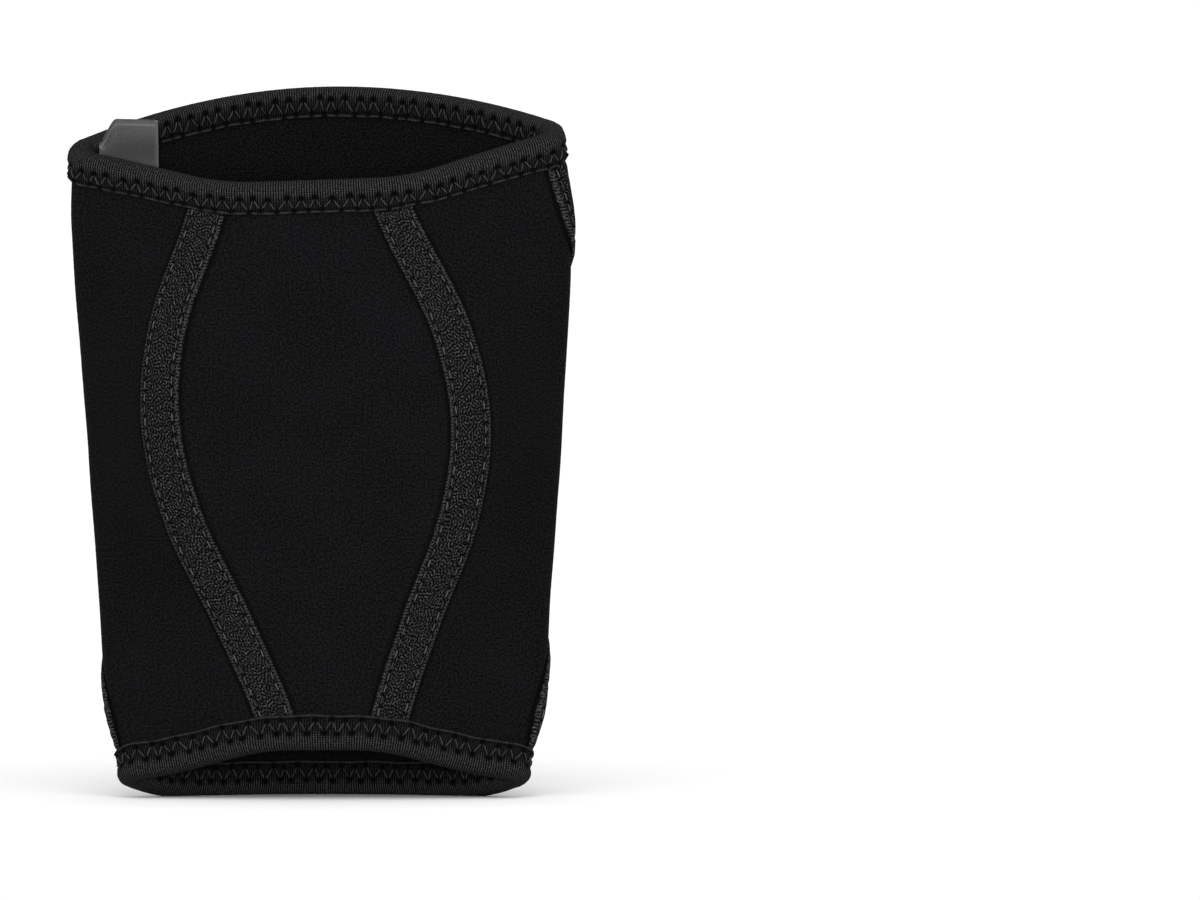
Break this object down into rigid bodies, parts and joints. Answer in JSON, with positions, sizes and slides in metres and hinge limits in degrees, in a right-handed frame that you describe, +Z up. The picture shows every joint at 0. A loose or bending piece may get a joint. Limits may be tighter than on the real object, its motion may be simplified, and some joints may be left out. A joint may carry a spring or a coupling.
{
  "type": "elbow sleeve",
  "caption": "Black neoprene elbow sleeve, a slightly bent tapering tube of sewn panels with knitted tape over the seams, ribbed binding on both rims and a small label.",
  "frame": {"origin": "on the surface it stands on, under the middle of the bounding box", "axes": "+Z up from the narrow end to the wide end, -Y towards the front, +X to the right seen from the front"},
  "size_m": [0.1429, 0.0658, 0.201],
  "materials": {
    "neoprene": "matt knit face on foam",
    "tape": "knitted, speckled",
    "binding": "fine ribbed knit",
    "satin": "satin weave"
  },
  "bodies": {
    "root": {"front_panel": "neoprene", "side_panel_left": "neoprene", "side_panel_right": "neoprene", "back_panel": "neoprene", "front_tape_left": "tape", "front_tape_right": "tape", "back_tape_left": "tape", "back_tape_right": "tape", "top_binding": "binding", "bottom_binding": "binding", "size_label": "satin"}
  },
  "joints": []
}
